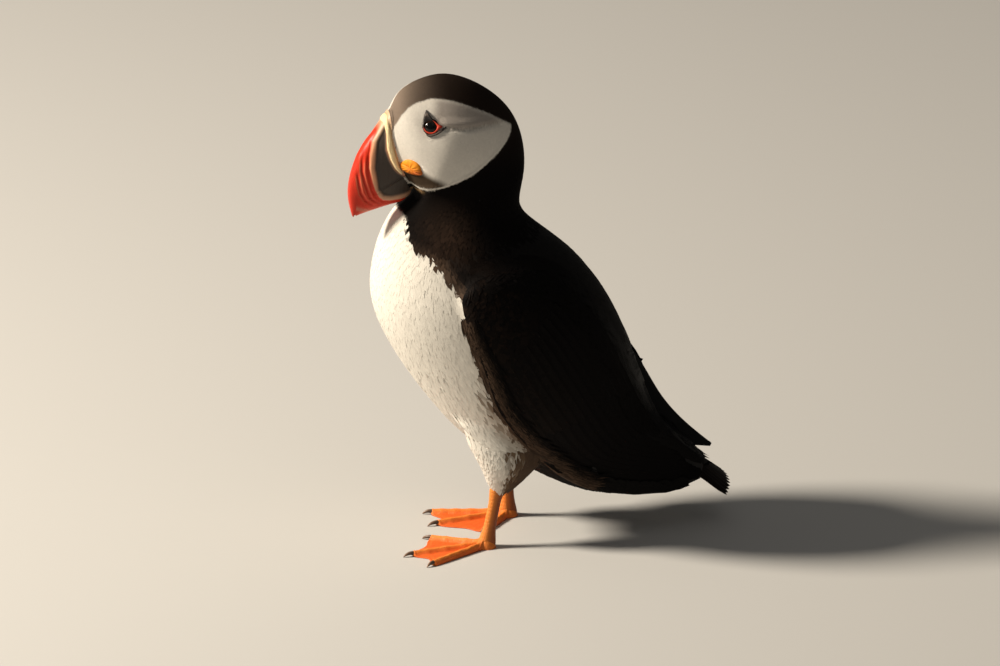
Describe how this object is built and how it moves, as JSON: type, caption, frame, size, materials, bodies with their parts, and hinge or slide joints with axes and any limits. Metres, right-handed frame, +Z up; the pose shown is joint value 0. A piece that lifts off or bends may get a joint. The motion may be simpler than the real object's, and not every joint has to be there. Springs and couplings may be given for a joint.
{
  "type": "atlantic puffin",
  "caption": "Life-size still model of a standing Atlantic puffin, with a deep banded bill, folded wings, a short tail and webbed feet.",
  "frame": {"origin": "on the floor under the middle of the bird's length, from bill tip to tail tip", "axes": "+Z up, the bird faces -Y and its left side is +X"},
  "size_m": [0.0934, 0.1767, 0.2183],
  "materials": {
    "head_plumage": "flesh under short, smooth feathers, white and grey with a black-brown crown",
    "black_body_plumage": "flesh under soft, matt black-brown feathers",
    "white_body_plumage": "flesh under dense, silky white feathers",
    "black_feathers": "black flight and covert feathers with a faint sheen",
    "bill_horn": "satin horn, red with grooves, cream band and blue-grey base",
    "cere": "cream, granular horny ridge",
    "rosette": "wrinkled yellow-orange skin",
    "eye": "wet, dark brown eye",
    "eye_plate": "dull blue-grey horn",
    "leg_skin": "orange scaled skin with a low gloss",
    "claw": "dark horn"
  },
  "bodies": {
    "root": {"head": "head_plumage", "neck": "black_body_plumage", "breast": "white_body_plumage", "belly": "white_body_plumage", "rump": "black_feathers", "thigh_left": "white_body_plumage", "thigh_right": "white_body_plumage", "wing_left": "black_feathers", "wing_right": "black_feathers", "tail": "black_feathers", "bill_upper": "bill_horn", "bill_lower": "bill_horn", "cere": "cere", "rosette_left": "rosette", "rosette_right": "rosette", "eye_left": "eye", "eye_right": "eye", "eye_horn_left": "eye_plate", "eye_horn_right": "eye_plate", "eye_plate_left": "eye_plate", "eye_plate_right": "eye_plate", "tarsus_left": "leg_skin", "tarsus_right": "leg_skin", "foot_left": "leg_skin", "foot_right": "leg_skin", "claw_left_inner": "claw", "claw_left_middle": "claw", "claw_left_outer": "claw", "claw_right_inner": "claw", "claw_right_middle": "claw", "claw_right_outer": "claw"}
  },
  "joints": []
}
